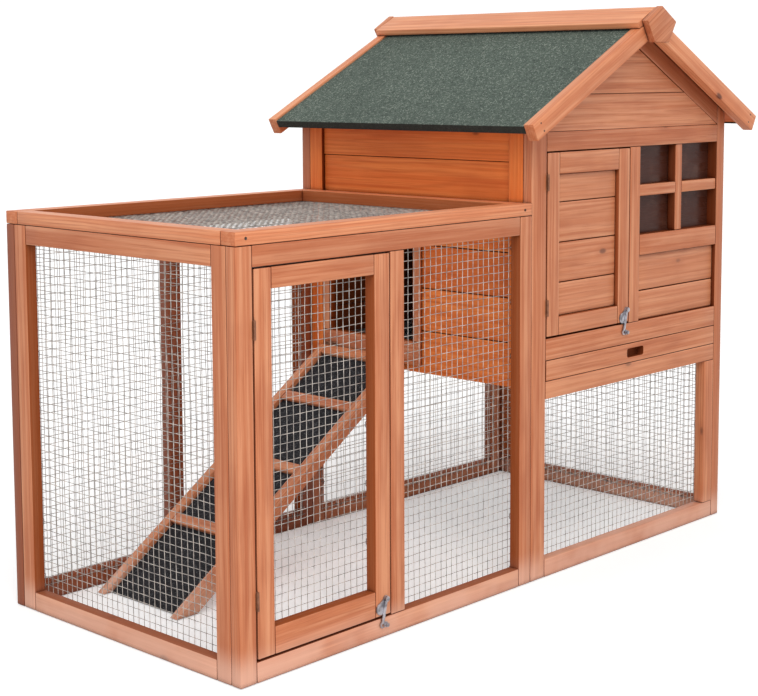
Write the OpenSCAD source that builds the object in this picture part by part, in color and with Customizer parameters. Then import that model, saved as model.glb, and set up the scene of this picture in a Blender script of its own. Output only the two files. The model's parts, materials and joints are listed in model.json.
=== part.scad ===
// Timber chicken coop: a wire-mesh run joined to a raised gabled house with a ramp between them.
// Frame: +X runs from the run's end to the house, +Y from front to back, +Z up.
// The origin is on the ground, under the centre of the whole coop's box.

/* [Overall] */
// Length of the run and house together
coop_length = 1220; // [1120:10:1300]
// Depth from the front panel to the back panel
coop_depth = 535; // [510:5:600]
// Length of the run beside the house
run_length = 640; // [600:10:660]
// Height of the run's panels, under its roof frame
run_height = 610; // [600:5:640]
// Height of the wall tops at the eaves
eave_height = 767; // [760:1:790]
// Slope of the house roof in degrees
roof_slope = 28; // [25:1:30]

/* [Timber] */
// Width of the stiles and rails
stock_w = 30; // [28:1:34]
// Thickness of the stiles and rails
stock_t = 20; // [18:1:22]
// Thickness of the wall boards
board_t = 11; // [9:1:12]
// Height of one board on the side and back walls
board_pitch = 75; // [60:5:90]
// Gap left at every butt joint
joint_gap = 0.3; // [0.2:0.1:0.5]

/* [Roof] */
// How far the roof passes the side walls
eave_overhang = 40; // [36:2:60]
// How far the roof boards pass the front and back walls
gable_overhang = 18; // [15:1:30]
// Depth of a bargeboard across the slope
barge_depth = 30; // [26:2:36]
// Width of one ridge cap board
cap_width = 46; // [40:2:54]

/* [House front] */
// Width of the post beside the house door
post_w = 38; // [34:1:42]
// Width of the house door
house_door_w = 233; // [220:1:240]
// Height of the floor line, at the underside of the tray
floor_height = 333; // [326:1:340]
// Height of the pull-out tray's front
tray_h = 33; // [30:1:34]
// Top of the house door and window
opening_top = 712; // [705:1:720]
// Height of the window panes' lower edge
window_bottom = 556; // [540:4:576]

/* [Run front] */
// Width of the run door
run_door_w = 268; // [240:1:290]
// Height of the run door's bottom rail
run_door_foot = 40; // [32:1:48]

/* [Ramp and doorway] */
// Width of the doorway between run and house
doorway_w = 205; // [180:5:210]
// Height of the doorway
doorway_h = 220; // [180:5:225]
// Slope of the lowered ramp in degrees
ramp_slope = 34; // [33:1:37]
// Width of the ramp
ramp_w = 202; // [180:2:206]

/* [Wire mesh] */
// Spacing of the welded wires
mesh_pitch = 12.7; // [12.7:12.7:25.4]
// Diameter of one wire
wire_d = 0.9; // [0.7:0.1:1.2]

/* [Hidden] */
$fn = 48;

// Colours of the stained timber and the metal
front_wood = [0.86, 0.58, 0.42];
warm_wood = [0.80, 0.48, 0.30];
light_wood = [0.94, 0.68, 0.50];
felt_green = [0.40, 0.47, 0.42];
felt_black = [0.20, 0.20, 0.22];
galvanised = [0.74, 0.76, 0.78];

// House extent and the lines of its front, in the build frame whose corner is the run's front end
house_x0 = run_length;
house_x1 = coop_length;
house_mid = (house_x0 + house_x1) / 2;
side_t = stock_t + 4;                        // the right wall is of slightly thicker stock
infill_x1 = house_x1 - side_t;               // the front and back panels end at the right wall
post_x1 = house_x0 + post_w;
door_gap = 3;                                // gap under each door and at its hinges
free_gap = 2;                                // gap above each door and at its latch
house_door_x0 = post_x1 + door_gap;
house_door_x1 = house_door_x0 + house_door_w;
mullion_x0 = house_door_x1 + free_gap;
mullion_x1 = mullion_x0 + stock_w;
tray_z1 = floor_height + tray_h;
sill_h = 36;
sill_z1 = tray_z1 + 1 + sill_h;
house_door_z0 = sill_z1 + door_gap;
house_door_z1 = opening_top - free_gap;
top_rail_z1 = opening_top + 32;
window_rail_h = 36;
gable_board_h = 60;
gable_setback = 2;                           // gable boards and glazing bars sit this far behind the front
board_recess = 7;                            // wall boards sit this far behind the frame's face
back_y = coop_depth;
rail_z0 = floor_height - 1 - stock_w;        // underside of the rail below the tray

// Roof geometry: distances down the slope (s) and square to it (n), from the boards' ridge line
roof_rise = (house_x1 - house_x0) / 2 * tan(roof_slope);
ridge_z = eave_height + roof_rise;
roof_board_t = 10;
felt_t = 2;
felt_gap = 0.1;                              // between felt and the timber on either side of it
felt_top = roof_board_t + felt_t;
barge_t = stock_t;
barge_proud = 3;
barge_extra = 2;                             // how far a bargeboard passes the felt's edge
barge_top = felt_top + barge_proud;
cap_t = 12;
slope_len = ((house_x1 - house_x0) / 2 + eave_overhang) / cos(roof_slope);
whole_x1 = house_mid + (slope_len + barge_extra) * cos(roof_slope) + barge_top * sin(roof_slope);

// Run front
run_door_x0 = stock_w + door_gap;
run_door_x1 = run_door_x0 + run_door_w;
run_door_z0 = stock_w + door_gap;
run_door_z1 = run_height - stock_w - free_gap;
door_stile_w = 32;
run_stile_x0 = run_door_x1 + free_gap;

// Mesh lies on the inner face of its frame and laps over the timber
mesh_lap = 8;
mesh_clear = 0.05;
mesh_t = 2 * wire_d + 3 * mesh_clear;

// Hinges: the barrel's axis stands just in front of the timber
barrel_r = 1.8;
pin_r = 0.9;
running_fit = 0.06;
hinge_h = 27;
hinge_leaf_w = 15;
hinge_leaf_t = 0.75;
knuckle_gap = 0.3;
barrel_clear = 0.2;                          // left between the barrel and the timber
hinge_y = -barrel_r - barrel_clear;

// Doorway and ramp
doorway_y0 = 263;
doorway_z0 = 375;
trim_w = 17;
trim_t = board_recess;
ramp_y0 = doorway_y0 + (doorway_w - ramp_w) / 2 + 20;
ramp_pivot = [house_x0 - barrel_r - barrel_clear, 0, doorway_z0 - 23];
ramp_head_x = ramp_pivot[0] - barrel_r - 0.1; // the ramp's upright end, with the moving leaf flat on it
ramp_drop = barrel_r + 0.5;                  // the ramp's top face lies this far under its pivot line
ramp_rail_w = 18;
ramp_rail_h = 24;
ramp_start = 5;
ramp_clear = 0.5;                            // left to the ground
ramp_reach = (ramp_pivot[2] - ramp_drop * cos(ramp_slope)) / sin(ramp_slope);
ramp_batten_w = 20;
ramp_batten_h = 8;
ramp_felt_t = 3;
ramp_board_t = 5;
ramp_batten_first = 128;                     // down the slope, to the first batten below the head
ramp_batten_pitch = 154;

// Places of the hinges along their axes, each at the same distance from the two ends of its door
run_hinge_inset = 70;
house_hinge_inset = 35;
ramp_hinge_inset = 12;
run_hinge_z = [run_door_z0 + run_hinge_inset, run_door_z1 - run_hinge_inset - hinge_h];
house_hinge_z = [house_door_z0 + house_hinge_inset, house_door_z1 - house_hinge_inset - hinge_h];
ramp_hinge_y = [ramp_y0 + ramp_hinge_inset, ramp_y0 + ramp_w - ramp_hinge_inset - hinge_h];

// Latches: a hook pivots on a plate on the door and turns behind the head of a keeper on the rail
latch_reach = 40;
latch_rest_tilt = 13;                        // at rest the hook stands clear of the keeper by this angle
latch_pivot_r = 2;
latch_eye_r = 4.6;                           // the rounded end of the hook, and of its plate
keeper_pin_r = 1.8;
keeper_head_r = 3.4;
plate_t = 1.5;
plate_back = 0.1;                            // plates stand this far off the timber
stud_len = 5;                                // studs and pins, up to the middle of their heads
stud_head_z = stud_len - 0.6;
stud_head_t = 1.4;
hook_z = plate_t + 0.5;                      // the hook's back, clear of the plate
run_latch = [run_door_x1 - 12, 0, run_door_z0 + 26];
house_latch = [house_door_x1 - 8, 0, house_door_z0 + 22];

// ---------------------------------------------------------------- helpers

// Moves the build frame's corner so that the origin is under the centre of the whole coop
module place() {
    translate([-whole_x1 / 2, -back_y / 2, 0]) children();
}

// Box between two opposite corners
module box(lo, hi) {
    translate(lo) cube(hi - lo);
}

// Four-piece frame standing on the XZ plane, its stiles running full height
module stile_frame(width, height, depth, stile, top, bottom, z0 = 0) {
    for (x = [0, width - stile])
        box([x, 0, 0], [x + stile, depth, height]);
    rail_x0 = stile + joint_gap;
    rail_x1 = width - stile - joint_gap;
    box([rail_x0, 0, z0], [rail_x1, depth, z0 + bottom]);
    box([rail_x0, 0, height - top], [rail_x1, depth, height]);
}

// Horizontal boards stacked on the XZ plane; the first board ends at first_z
module board_rows(x0, x1, z0, z1, first_z, pitch, depth) {
    rows = ceil((z1 - first_z) / pitch);
    for (row = [0 : rows]) {
        low = row == 0 ? z0 : first_z + (row - 1) * pitch;
        high = min(first_z + row * pitch, z1);
        if (high - low > 2 * joint_gap)
            box([x0, 0, low + joint_gap], [x1, depth, high - joint_gap]);
    }
}

// Welded mesh on the XZ plane: upright wires first, then level wires against them
module wire_mesh(width, height) {
    upright = floor(width / mesh_pitch);
    level = floor(height / mesh_pitch);
    side_margin = (width - upright * mesh_pitch) / 2;
    foot_margin = (height - level * mesh_pitch) / 2;
    for (i = [0 : upright])
        translate([side_margin + i * mesh_pitch, mesh_clear + wire_d / 2, 0])
            cylinder(d = wire_d, h = height, $fn = 16);
    for (i = [0 : level])
        translate([0, 2 * mesh_clear + wire_d * 1.5, foot_margin + i * mesh_pitch])
            rotate([0, 90, 0]) cylinder(d = wire_d, h = width, $fn = 16);
}

// Mesh that covers an opening and laps over the timber round it
module lapped_mesh(x0, x1, z0, z1) {
    translate([x0 - mesh_lap, 0, z0 - mesh_lap])
        wire_mesh(x1 - x0 + 2 * mesh_lap, z1 - z0 + 2 * mesh_lap);
}

// Turns a wall drawn on the XZ plane so that it runs along Y, with its depth towards +X
module along_y() {
    mirror([1, -1, 0]) children();
}

// Point on the left roof slope, s down the slope and n square to it
function slope_point(s, n) = [
    -s * cos(roof_slope) - n * sin(roof_slope),
    -s * sin(roof_slope) + n * cos(roof_slope)
];

// Sloping board on both sides of the ridge, mitred at the top and cut square at the foot
module roof_pair(s_end, n0, n1, y0, y1) {
    top_gap = joint_gap / cos(roof_slope);
    translate([house_mid, y1, ridge_z])
        for (side = [0, 1])
            mirror([side, 0, 0])
                rotate([90, 0, 0])
                    linear_extrude(y1 - y0)
                        polygon([
                            slope_point(top_gap - n0 * tan(roof_slope), n0),
                            slope_point(s_end, n0),
                            slope_point(s_end, n1),
                            slope_point(top_gap - n1 * tan(roof_slope), n1)
                        ]);
}

// Everything further than depth under the roof boards, used to cut posts and gables to the slope
module under_roof(y0, y1, depth = 1) {
    clear = ridge_z - depth / cos(roof_slope);
    half = (house_x1 - house_x0) / 2;
    translate([house_mid, y1, 0])
        rotate([90, 0, 0])
            linear_extrude(y1 - y0)
                polygon([
                    [-half, 0], [half, 0],
                    [half, clear - half * tan(roof_slope)],
                    [0, clear],
                    [-half, clear - half * tan(roof_slope)]
                ]);
}

// ---------------------------------------------------------------- run

module run_end_frame() {
    color(front_wood)
        translate([0, stock_t + joint_gap, 0])
            along_y()
                stile_frame(back_y - 2 * stock_t - 2 * joint_gap, run_height, stock_t, stock_w,
                            stock_w, stock_w);
}

module run_end_mesh() {
    color(galvanised)
        translate([stock_t, 0, 0])
            along_y()
                lapped_mesh(stock_t + stock_w, back_y - stock_t - stock_w, stock_w,
                            run_height - stock_w);
}

module run_front_frame() {
    color(front_wood) {
        stile_frame(run_length - joint_gap, run_height, stock_t, stock_w, stock_w, stock_w);
        box([run_stile_x0, 0, stock_w + joint_gap],
            [run_stile_x0 + stock_w, stock_t, run_height - stock_w - joint_gap]);
    }
}

module run_front_mesh() {
    color(galvanised)
        translate([0, stock_t, 0])
            lapped_mesh(run_stile_x0 + stock_w, run_length - stock_w, stock_w,
                        run_height - stock_w);
}

module run_back_frame() {
    middle = run_length * 0.47;
    color(front_wood)
        translate([0, back_y - stock_t, 0]) {
            stile_frame(run_length - joint_gap, run_height, stock_t, stock_w, stock_w, stock_w);
            box([middle, 0, stock_w + joint_gap],
                [middle + stock_w, stock_t, run_height - stock_w - joint_gap]);
        }
}

module run_back_mesh() {
    color(galvanised)
        translate([0, back_y - stock_t, 0])
            mirror([0, 1, 0])
                lapped_mesh(stock_w, run_length - stock_w, stock_w, run_height - stock_w);
}

roof_frame_z0 = run_height + joint_gap;
roof_frame_z1 = roof_frame_z0 + stock_t;

// Its long boards run over the ends of the short ones
module run_roof_frame() {
    color(light_wood)
        translate([0, 0, roof_frame_z1])
            rotate([0, 90, 0])
                along_y()
                    stile_frame(back_y, run_length - joint_gap, stock_t, stock_w, stock_w,
                                stock_w);
}

module run_roof_mesh() {
    color(galvanised)
        translate([0, 0, roof_frame_z0])
            rotate([-90, 0, 0])
                lapped_mesh(stock_w, run_length - stock_w, stock_w, back_y - stock_w);
}

// Round-headed nails through the roof frame's long boards into its end boards
module run_roof_nails() {
    head_r = 2.2;
    nail_z = roof_frame_z0 + stock_t / 2;
    color("dimgray")
        for (x = [stock_w / 2 + 4, run_length - stock_w / 2 - 4], back = [0, 1])
            translate([x, back * back_y, nail_z])
                rotate([back == 1 ? 90 : -90, 0, 0]) {
                    translate([0, 0, -0.6]) cylinder(r = head_r, h = 0.6);
                    cylinder(r = 0.9, h = 28);
                }
}

// ---------------------------------------------------------------- house front

module front_left_post() {
    color(front_wood)
        intersection() {
            box([house_x0 + joint_gap, 0, 0], [post_x1, stock_t, ridge_z]);
            under_roof(-1, stock_t + 1);
        }
}

// Level rail of the house front, between the post and the right wall
module front_rail(z0, z1) {
    color(front_wood)
        box([post_x1 + joint_gap, 0, z0], [infill_x1 - joint_gap, stock_t, z1]);
}

module front_base_rail() {
    front_rail(0, stock_w);
}

module front_lower_stile() {
    color(front_wood)
        box([infill_x1 - stock_w - joint_gap, 0, stock_w + joint_gap],
            [infill_x1 - joint_gap, stock_t, rail_z0 - joint_gap]);
}

module tray_support_rail() {
    front_rail(rail_z0, floor_height - 1);
}

module door_sill_rail() {
    front_rail(tray_z1 + 1, sill_z1);
}

module front_mullion() {
    color(front_wood)
        box([mullion_x0, 0, sill_z1 + joint_gap], [mullion_x1, stock_t, opening_top - joint_gap]);
}

module window_sill_rail() {
    color(front_wood)
        box([mullion_x1 + joint_gap, 0, window_bottom - window_rail_h],
            [infill_x1 - joint_gap, stock_t, window_bottom]);
}

// Cross of glazing bars; the upright bar runs through and the level bar is in two pieces
module window_muntins() {
    bar = 20;
    mid_x = (mullion_x1 + infill_x1) / 2;
    mid_z = (window_bottom + opening_top) / 2;
    y0 = gable_setback;
    y1 = stock_t - joint_gap;
    color(front_wood) {
        box([mid_x - bar / 2, y0, window_bottom + joint_gap],
            [mid_x + bar / 2, y1, opening_top - joint_gap]);
        box([mullion_x1 + joint_gap, y0, mid_z - bar / 2],
            [mid_x - bar / 2 - joint_gap, y1, mid_z + bar / 2]);
        box([mid_x + bar / 2 + joint_gap, y0, mid_z - bar / 2],
            [infill_x1 - joint_gap, y1, mid_z + bar / 2]);
    }
}

module window_pane() {
    pane_t = 2;
    color([0.3, 0.3, 0.32, 0.6])
        box([mullion_x1 - mesh_lap, stock_t + joint_gap, window_bottom - mesh_lap],
            [infill_x1 - joint_gap, stock_t + joint_gap + pane_t, opening_top + mesh_lap]);
}

module front_wall_boards() {
    z0 = sill_z1;
    z1 = window_bottom - window_rail_h;
    board_h = (z1 - z0) * 0.55;
    color(front_wood)
        translate([0, board_recess, 0])
            board_rows(mullion_x1 + joint_gap, infill_x1 - joint_gap, z0, z1, z1 - board_h, board_h,
                       board_t);
}

module front_top_rail() {
    front_rail(opening_top, top_rail_z1 - joint_gap);
}

rafter_top = 1;                              // the rafters lie this far under the roof boards
rafter_foot = rafter_top + stock_w;

// Two gable boards above the top rail, cut to the slope of the rafters over them
module gable_boards(y0, y1, x0) {
    first_z = top_rail_z1 + gable_board_h;
    intersection() {
        translate([0, y0, 0])
            board_rows(x0, infill_x1 - joint_gap, top_rail_z1, ridge_z, first_z,
                       ridge_z - first_z, y1 - y0);
        under_roof(y0 - 1, y1 + 1, rafter_foot + joint_gap);
    }
}

module front_gable_boards() {
    color(front_wood)
        gable_boards(gable_setback, stock_t, post_x1 + joint_gap);
}

// ---------------------------------------------------------------- house sides and back

left_wall_z0 = floor_height - 13;

module left_wall_stiles() {
    color(warm_wood)
        intersection() {
            for (y = [stock_t + joint_gap, back_y - stock_t - joint_gap - stock_w])
                box([house_x0 + joint_gap, y, left_wall_z0],
                    [house_x0 + stock_t, y + stock_w, ridge_z]);
            under_roof(0, back_y);
        }
}

// Space of the doorway, through the left wall
module doorway_space() {
    box([house_x0 - 1, doorway_y0, doorway_z0],
        [house_x0 + stock_t + 1, doorway_y0 + doorway_w, doorway_z0 + doorway_h]);
}

module left_wall_boards() {
    y0 = stock_t + stock_w + 2 * joint_gap;
    color(warm_wood)
        intersection() {
            difference() {
                translate([house_x0 + board_recess, 0, 0])
                    along_y()
                        board_rows(y0, back_y - y0, left_wall_z0, ridge_z,
                                   left_wall_z0 + board_pitch, board_pitch, board_t);
                doorway_space();
            }
            under_roof(0, back_y);
        }
}

// Trim nailed on the boards round the doorway; its wide sill carries the ramp's hinges
module doorway_trim() {
    y0 = doorway_y0;
    y1 = doorway_y0 + doorway_w;
    z0 = doorway_z0;
    z1 = doorway_z0 + doorway_h;
    x0 = house_x0 + joint_gap;
    x1 = x0 + trim_t - 2 * joint_gap;
    sill = 42;
    color(front_wood) {
        for (y = [y0 - trim_w, y1 + joint_gap])
            box([x0, y, z0], [x1, y + trim_w - 2 * joint_gap, z1]);
        box([x0, y0 - trim_w, z1 + joint_gap], [x1, y1 + trim_w - joint_gap, z1 + trim_w]);
        box([x0, y0 - trim_w, z0 - sill], [x1, y1 + trim_w - joint_gap, z0 - joint_gap]);
    }
}

module right_wall_frame() {
    y_end = back_y - stock_w;
    color(front_wood)
        intersection() {
            union() {
                for (y = [0, y_end])
                    box([infill_x1, y, 0], [house_x1, y + stock_w, ridge_z]);
                for (z = [0, rail_z0])
                    box([infill_x1, stock_w + joint_gap, z],
                        [house_x1, y_end - joint_gap, z + stock_w]);
            }
            under_roof(-1, back_y + 1);
        }
}

module right_wall_boards() {
    y0 = stock_w + joint_gap;
    z0 = rail_z0 + stock_w;
    color(front_wood)
        intersection() {
            translate([house_x1 - board_recess - board_t, 0, 0])
                along_y()
                    board_rows(y0, back_y - y0, z0, ridge_z, z0 + board_pitch, board_pitch, board_t);
            under_roof(0, back_y);
        }
}

module back_wall_frame() {
    y0 = back_y - stock_t;
    x0 = house_x0 + joint_gap;
    x1 = infill_x1 - joint_gap;
    color(front_wood)
        intersection() {
            union() {
                for (x = [x0, x1 - stock_w])
                    box([x, y0, 0], [x + stock_w, back_y, ridge_z]);
                for (z = [0, rail_z0])
                    box([x0 + stock_w + joint_gap, y0, z],
                        [x1 - stock_w - joint_gap, back_y, z + stock_w]);
            }
            under_roof(y0 - 1, back_y + 1);
        }
}

module back_wall_boards() {
    x_in = stock_w + 2 * joint_gap;
    z0 = rail_z0 + stock_w;
    color(front_wood)
        translate([0, back_y - board_recess - board_t, 0])
            board_rows(house_x0 + x_in, infill_x1 - x_in, z0, top_rail_z1, z0 + board_pitch,
                       board_pitch, board_t);
}

module back_gable_boards() {
    x_in = stock_w + 2 * joint_gap;
    color(front_wood)
        intersection() {
            box([house_x0 + x_in, back_y - stock_t, 0], [infill_x1 - x_in, back_y, ridge_z]);
            gable_boards(back_y - board_recess - board_t, back_y - board_recess,
                         house_x0 + joint_gap);
        }
}

// ---------------------------------------------------------------- under the house

module under_house_front_mesh() {
    color(galvanised)
        translate([0, stock_t, 0])
            lapped_mesh(post_x1, infill_x1 - stock_w, stock_w, rail_z0);
}

module under_house_right_mesh() {
    color(galvanised)
        translate([infill_x1, 0, 0])
            mirror([1, 0, 0])
                along_y()
                    lapped_mesh(stock_w, back_y - stock_w, stock_w, rail_z0);
}

module under_house_back_mesh() {
    color(galvanised)
        translate([0, back_y - stock_t, 0])
            mirror([0, 1, 0])
                lapped_mesh(house_x0 + stock_w, infill_x1 - stock_w, stock_w, rail_z0);
}

// Battens on the side walls that carry the tray and close the floor beside it
module tray_runners() {
    runner_h = 14;
    z1 = floor_height - 0.8;
    y0 = stock_t + mesh_t + 1;
    y1 = back_y - stock_t - mesh_t - 1;
    inner = 26;
    color(warm_wood) {
        box([house_x0 + stock_t + joint_gap, y0, z1 - runner_h], [post_x1 + inner, y1, z1]);
        box([infill_x1 - inner, y0, z1 - runner_h],
            [infill_x1 - mesh_t - joint_gap, y1, z1]);
    }
}

// ---------------------------------------------------------------- roof

// Rafters in the plane of each gable, between its corner posts, that the roof boards are nailed to
module gable_rafters() {
    back_x_in = stock_w + 2 * joint_gap;
    color(front_wood) {
        rafter_pair(0, post_x1 + joint_gap, infill_x1 - joint_gap);
        rafter_pair(back_y - stock_t, house_x0 + back_x_in, infill_x1 - back_x_in);
    }
}

module rafter_pair(y0, x0, x1) {
    y1 = y0 + stock_t;
    intersection() {
        roof_pair(slope_len, -rafter_foot, -rafter_top, y0, y1);
        box([x0, y0 - 1, 0], [x1, y1 + 1, ridge_z]);
    }
}

module roof_boards() {
    color(warm_wood)
        roof_pair(slope_len, 0, roof_board_t, -gable_overhang, back_y + gable_overhang);
}

// Felt sheets with their lower edges turned down over the boards' ends
module roof_felt() {
    lip = 1.5;
    lip_h = 12;
    near_ridge = 20;                         // keeps the lips to the eaves
    y0 = -gable_overhang;
    y1 = back_y + gable_overhang;
    color(felt_green) {
        roof_pair(slope_len + lip + joint_gap, roof_board_t + felt_gap, felt_top, y0, y1);
        difference() {
            roof_pair(slope_len + lip + joint_gap, roof_board_t - lip_h, felt_top, y0, y1);
            roof_pair(slope_len + joint_gap, -lip_h, felt_top + 1, y0 - 1, y1 + 1);
            box([house_mid - near_ridge, y0 - 1, 0], [house_mid + near_ridge, y1 + 1, 2 * ridge_z]);
        }
    }
}

// Bargeboards that cover the roof's edge at one gable
module bargeboards(y0) {
    color(light_wood)
        roof_pair(slope_len + barge_extra, barge_top - barge_depth, barge_top, y0, y0 + barge_t);
}

module front_bargeboards() {
    bargeboards(-gable_overhang - barge_t - joint_gap);
}

module back_bargeboards() {
    bargeboards(back_y + gable_overhang + joint_gap);
}

cap_y0 = -gable_overhang - barge_t - joint_gap;
cap_y1 = back_y + gable_overhang + barge_t + joint_gap;

module ridge_cap_boards() {
    color(light_wood)
        roof_pair(cap_width, barge_top + joint_gap, barge_top + cap_t, cap_y0, cap_y1);
}

// Five-sided plates that close the ends of the ridge cap
module ridge_end_plates() {
    plate = 13;
    drop = 36;
    half = cap_width * cos(roof_slope) + 3;
    foot = half * 0.5;
    apex = ridge_z + (barge_top + cap_t) / cos(roof_slope) + 1;
    shoulder = apex - half * tan(roof_slope) - 3;
    color(front_wood)
        for (y1 = [cap_y0 - joint_gap, cap_y1 + joint_gap + plate])
            translate([house_mid, y1, 0])
                rotate([90, 0, 0])
                    linear_extrude(plate)
                        polygon([
                            [-half, shoulder], [-foot, shoulder - drop], [foot, shoulder - drop],
                            [half, shoulder], [0, apex]
                        ]);
}

// ---------------------------------------------------------------- hinges

// Stretches of the barrel that belong to the leaf on the frame and to the leaf that swings
third = hinge_h / 3;
outer_knuckles = [[0, third - knuckle_gap], [2 * third + knuckle_gap, hinge_h]];
middle_knuckle = [[third, 2 * third]];

// Hinge leaf with the barrel's axis on Z; the plate reaches towards +Y, starting at x0
module hinge_leaf(knuckles, x0) {
    x1 = x0 + hinge_leaf_t;
    difference() {
        union() {
            box([x0, barrel_r + 0.25, 0], [x1, barrel_r + hinge_leaf_w, hinge_h]);
            for (span = knuckles) {
                translate([0, 0, span[0]]) cylinder(r = barrel_r, h = span[1] - span[0]);
                box([x0, 0, span[0]], [x1, barrel_r + 0.5, span[1]]);
            }
        }
        translate([0, 0, -1]) cylinder(r = pin_r + running_fit, h = hinge_h + 2);
    }
}

module run_hinges() {
    for (z = run_hinge_z)
        translate([stock_w + door_gap / 2, hinge_y, z]) children();
}

module house_hinges() {
    for (z = house_hinge_z)
        translate([post_x1 + door_gap / 2, hinge_y, z]) children();
}

// Ramp hinges: the axis lies along Y, and both plates point down, between the ramp's end and the wall
module ramp_hinges() {
    for (y = ramp_hinge_y)
        translate([ramp_pivot[0], y, ramp_pivot[2]])
            rotate([-90, 0, 0]) children();
}

leaf_inset = 0.2;                            // from the middle of a door's gap to its leaves
leaf_flat = barrel_r - hinge_leaf_t;         // a plate whose outer face is level with the barrel's side

module hinge_fixed_leaves() {
    color(galvanised) {
        run_hinges() hinge_leaf(outer_knuckles, -leaf_inset - hinge_leaf_t);
        house_hinges() hinge_leaf(outer_knuckles, -leaf_inset - hinge_leaf_t);
        ramp_hinges() hinge_leaf(outer_knuckles, leaf_flat);
    }
}

module hinge_pins() {
    color("gray") {
        run_hinges() cylinder(r = pin_r, h = hinge_h);
        house_hinges() cylinder(r = pin_r, h = hinge_h);
        ramp_hinges() cylinder(r = pin_r, h = hinge_h);
    }
}

// ---------------------------------------------------------------- latches

// Disc screwed to the door, with the stud that the hook turns on. Drawn facing -Y.
module latch_plate(at) {
    disc_r = 9;
    disc_at = [-11, -14];
    screw_r = 1.8;
    screw_depth = 12;
    head_r = 4;
    head_t = 1.2;
    head_z = plate_t - head_t + 0.3;         // the head is sunk, so that the hook swings over it
    color(galvanised)
        translate(at)
            rotate([90, 0, 0]) {
                difference() {
                    translate([0, 0, plate_back])
                        linear_extrude(plate_t - plate_back)
                            union() {
                                translate(disc_at) circle(disc_r);
                                circle(latch_eye_r);
                                polygon([
                                    [-latch_eye_r, 0], [latch_eye_r, 0],
                                    [disc_at[0] + 7, disc_at[1] - 4], [disc_at[0] - 5, disc_at[1] + 6]
                                ]);
                            }
                    translate([disc_at[0], disc_at[1], -1])
                        cylinder(r = screw_r + 0.3, h = plate_t + 2);
                    translate([disc_at[0], disc_at[1], head_z - 0.05])
                        cylinder(r = head_r + 0.2, h = plate_t);
                }
                // screw through the disc
                translate([disc_at[0], disc_at[1], head_z]) cylinder(r = head_r, h = head_t);
                translate([disc_at[0], disc_at[1], -screw_depth])
                    cylinder(r = screw_r, h = screw_depth + head_z + head_t / 2);
                headed_stud(latch_pivot_r, latch_eye_r - 0.6);
            }
}

// Stud on a plate, with a flat head that keeps the hook on
module headed_stud(r, head_r) {
    cylinder(r = r, h = stud_len);
    translate([0, 0, stud_head_z]) cylinder(r = head_r, h = stud_head_t);
}

// Hook that turns on the stud; at rest it hangs to the left of the keeper, jaw towards it
module latch_hook(at) {
    half_w = 2.4;
    jaw_r = keeper_pin_r + 0.4;
    jaw_wall = 2.2;
    jaw_mouth = 12;                          // longer than the end of the hook is wide
    color(galvanised)
        translate(at)
            rotate([0, latch_rest_tilt, 0])
                rotate([90, 0, 0])
                    translate([0, 0, hook_z])
                        linear_extrude(plate_t)
                            difference() {
                                union() {
                                    circle(latch_eye_r);
                                    translate([0, -latch_reach]) circle(jaw_r + jaw_wall);
                                    translate([-half_w, -latch_reach]) square([2 * half_w, latch_reach]);
                                }
                                circle(latch_pivot_r + running_fit);
                                translate([0, -latch_reach]) circle(jaw_r);
                                translate([0, -latch_reach - jaw_r])
                                    square([jaw_mouth, 2 * jaw_r]);
                            }
}

// Keeper: a washer on the rail and a headed pin for the hook to turn behind
module latch_keeper(at) {
    washer_r = 4.4;
    color(galvanised)
        translate([at[0], 0, at[2] - latch_reach])
            rotate([90, 0, 0]) {
                translate([0, 0, plate_back]) cylinder(r = washer_r, h = plate_t - plate_back);
                headed_stud(keeper_pin_r, keeper_head_r);
            }
}

module latch_keepers() {
    latch_keeper(run_latch);
    latch_keeper(house_latch);
}

module run_latch_plate() {
    latch_plate(run_latch);
}

module run_latch_hook() {
    latch_hook(run_latch);
}

module house_latch_plate() {
    latch_plate(house_latch);
}

module house_latch_hook() {
    latch_hook(house_latch);
}

// ---------------------------------------------------------------- doors

module run_door_frame() {
    color(front_wood)
        translate([run_door_x0, 0, run_door_z0])
            stile_frame(run_door_w, run_door_z1 - run_door_z0, stock_t, door_stile_w, stock_w,
                        run_door_foot);
}

module run_door_mesh() {
    color(galvanised)
        translate([0, stock_t, 0])
            lapped_mesh(run_door_x0 + door_stile_w, run_door_x1 - door_stile_w,
                        run_door_z0 + run_door_foot, run_door_z1 - stock_w);
}

module run_door_hinge_leaves() {
    color(galvanised)
        run_hinges() hinge_leaf(middle_knuckle, leaf_inset);
}

house_door_top = 36;
house_door_foot = 31;
door_board_foot = 56;                        // height of the lowest board
door_board_pitch = 67;

module house_door_frame() {
    color(front_wood)
        translate([house_door_x0, 0, house_door_z0])
            stile_frame(house_door_w, house_door_z1 - house_door_z0, stock_t, door_stile_w,
                        house_door_top, house_door_foot);
}

module house_door_boards() {
    z0 = house_door_z0 + house_door_foot;
    z1 = house_door_z1 - house_door_top;
    color(front_wood)
        translate([0, board_recess, 0])
            board_rows(house_door_x0 + door_stile_w + joint_gap,
                       house_door_x1 - door_stile_w - joint_gap, z0, z1,
                       z0 + door_board_foot, door_board_pitch, board_t);
}

module house_door_hinge_leaves() {
    color(galvanised)
        house_hinges() hinge_leaf(middle_knuckle, leaf_inset);
}

// ---------------------------------------------------------------- tray

tray_side_gap = 1.5;

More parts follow.
